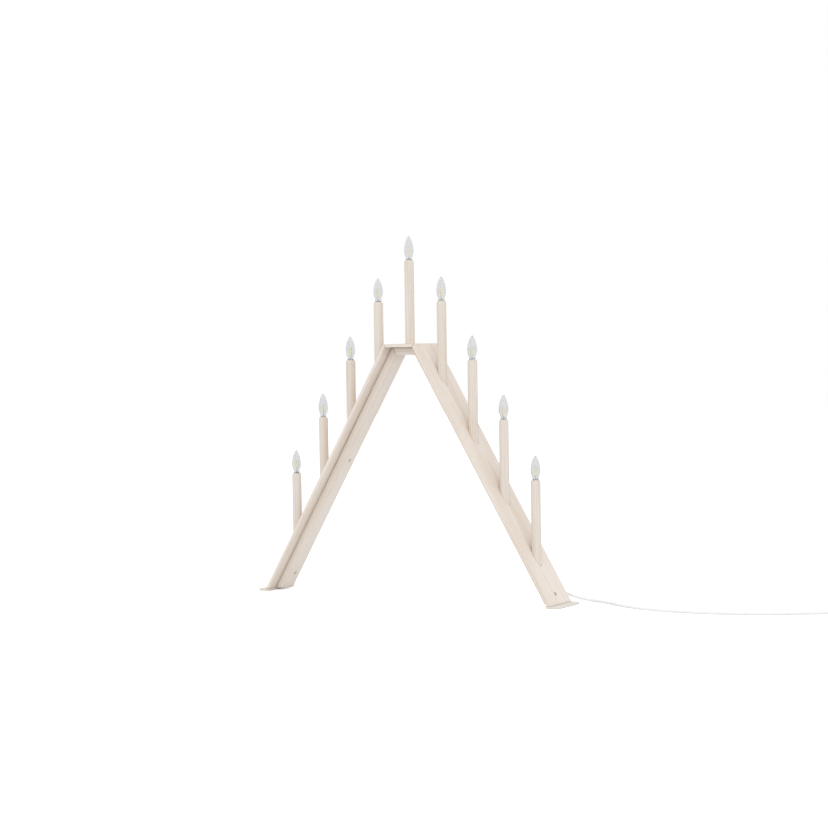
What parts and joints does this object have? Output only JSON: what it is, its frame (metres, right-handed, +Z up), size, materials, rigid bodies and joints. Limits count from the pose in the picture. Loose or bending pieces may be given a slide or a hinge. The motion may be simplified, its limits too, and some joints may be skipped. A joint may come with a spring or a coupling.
{
  "type": "electric candlestick lamp",
  "caption": "A-frame window candlestick of pale boards with upright candle tubes, screw sockets and flame bulbs, and a mains cord with a flat plug.",
  "frame": {"origin": "on the table, midway between the two feet and midway through the depth of the boards", "axes": "+Z up, +X along the width towards the foot that the cord leaves, -Y towards the front; left and right in node names are as seen from the front"},
  "size_m": [0.9563, 0.1481, 0.5235],
  "materials": {
    "board": "pale whitewashed pine, matt, fine straight grain with small knots",
    "tube": "pale whitewashed turned wood, matt",
    "socket": "dark moulded socket, satin",
    "bulb_cap": "dull pressed cap",
    "bulb_glass": "clear glass",
    "screw": "plain steel screw",
    "wiring": "insulated wire",
    "cord": "white cord sheath, satin",
    "plug": "white moulded plug, satin",
    "pin": "nickel-plated pin"
  },
  "bodies": {
    "frame": {"top_board": "board", "left_leg_board": "board", "right_leg_board": "board", "top_channel": "board", "left_channel": "board", "right_channel": "board", "left_foot_plate": "board", "right_foot_plate": "board", "candle_tube_top": "tube", "candle_tube_left_1": "tube", "candle_tube_left_2": "tube", "candle_tube_left_3": "tube", "candle_tube_left_4": "tube", "candle_tube_right_1": "tube", "candle_tube_right_2": "tube", "candle_tube_right_3": "tube", "candle_tube_right_4": "tube", "socket_top": "socket", "socket_left_1": "socket", "socket_left_2": "socket", "socket_left_3": "socket", "socket_left_4": "socket", "socket_right_1": "socket", "socket_right_2": "socket", "socket_right_3": "socket", "socket_right_4": "socket", "left_channel_screw_1": "screw", "left_channel_screw_2": "screw", "left_foot_screw": "screw", "right_channel_screw_1": "screw", "right_channel_screw_2": "screw", "right_foot_screw": "screw", "top_wiring": "wiring", "left_wiring": "wiring", "right_wiring": "wiring", "cord_gland": "cord", "cord": "cord", "cord_coil": "cord", "coil_tie": "cord", "plug_body": "plug", "plug_pin_1": "pin", "plug_pin_2": "pin"},
    "bulb_top": {"bulb_cap_top": "bulb_cap", "bulb_glass_top": "bulb_glass"},
    "bulb_left_1": {"bulb_cap_left_1": "bulb_cap", "bulb_glass_left_1": "bulb_glass"},
    "bulb_left_2": {"bulb_cap_left_2": "bulb_cap", "bulb_glass_left_2": "bulb_glass"},
    "bulb_left_3": {"bulb_cap_left_3": "bulb_cap", "bulb_glass_left_3": "bulb_glass"},
    "bulb_left_4": {"bulb_cap_left_4": "bulb_cap", "bulb_glass_left_4": "bulb_glass"},
    "bulb_right_1": {"bulb_cap_right_1": "bulb_cap", "bulb_glass_right_1": "bulb_glass"},
    "bulb_right_2": {"bulb_cap_right_2": "bulb_cap", "bulb_glass_right_2": "bulb_glass"},
    "bulb_right_3": {"bulb_cap_right_3": "bulb_cap", "bulb_glass_right_3": "bulb_glass"},
    "bulb_right_4": {"bulb_cap_right_4": "bulb_cap", "bulb_glass_right_4": "bulb_glass"}
  },
  "joints": [
    {"name": "bulb_top_turn", "type": "hinge", "parent": "frame", "child": "bulb_top", "pos_m": [0, 0, 0.488], "axis": [0, 0, 1], "range_deg": [0, 900]},
    {"name": "bulb_left_1_turn", "type": "hinge", "parent": "frame", "child": "bulb_left_1", "pos_m": [-0.0534, 0, 0.42829], "axis": [0, 0, 1], "range_deg": [0, 900]},
    {"name": "bulb_left_2_turn", "type": "hinge", "parent": "frame", "child": "bulb_left_2", "pos_m": [-0.10314, 0, 0.34385], "axis": [0, 0, 1], "range_deg": [0, 900]},
    {"name": "bulb_left_3_turn", "type": "hinge", "parent": "frame", "child": "bulb_left_3", "pos_m": [-0.15288, 0, 0.25941], "axis": [0, 0, 1], "range_deg": [0, 900]},
    {"name": "bulb_left_4_turn", "type": "hinge", "parent": "frame", "child": "bulb_left_4", "pos_m": [-0.20262, 0, 0.17497], "axis": [0, 0, 1], "range_deg": [0, 900]},
    {"name": "bulb_right_1_turn", "type": "hinge", "parent": "frame", "child": "bulb_right_1", "pos_m": [0.0534, 0, 0.42829], "axis": [0, 0, 1], "range_deg": [0, 900]},
    {"name": "bulb_right_2_turn", "type": "hinge", "parent": "frame", "child": "bulb_right_2", "pos_m": [0.10314, 0, 0.34385], "axis": [0, 0, 1], "range_deg": [0, 900]},
    {"name": "bulb_right_3_turn", "type": "hinge", "parent": "frame", "child": "bulb_right_3", "pos_m": [0.15288, 0, 0.25941], "axis": [0, 0, 1], "range_deg": [0, 900]},
    {"name": "bulb_right_4_turn", "type": "hinge", "parent": "frame", "child": "bulb_right_4", "pos_m": [0.20262, 0, 0.17497], "axis": [0, 0, 1], "range_deg": [0, 900]}
  ]
}
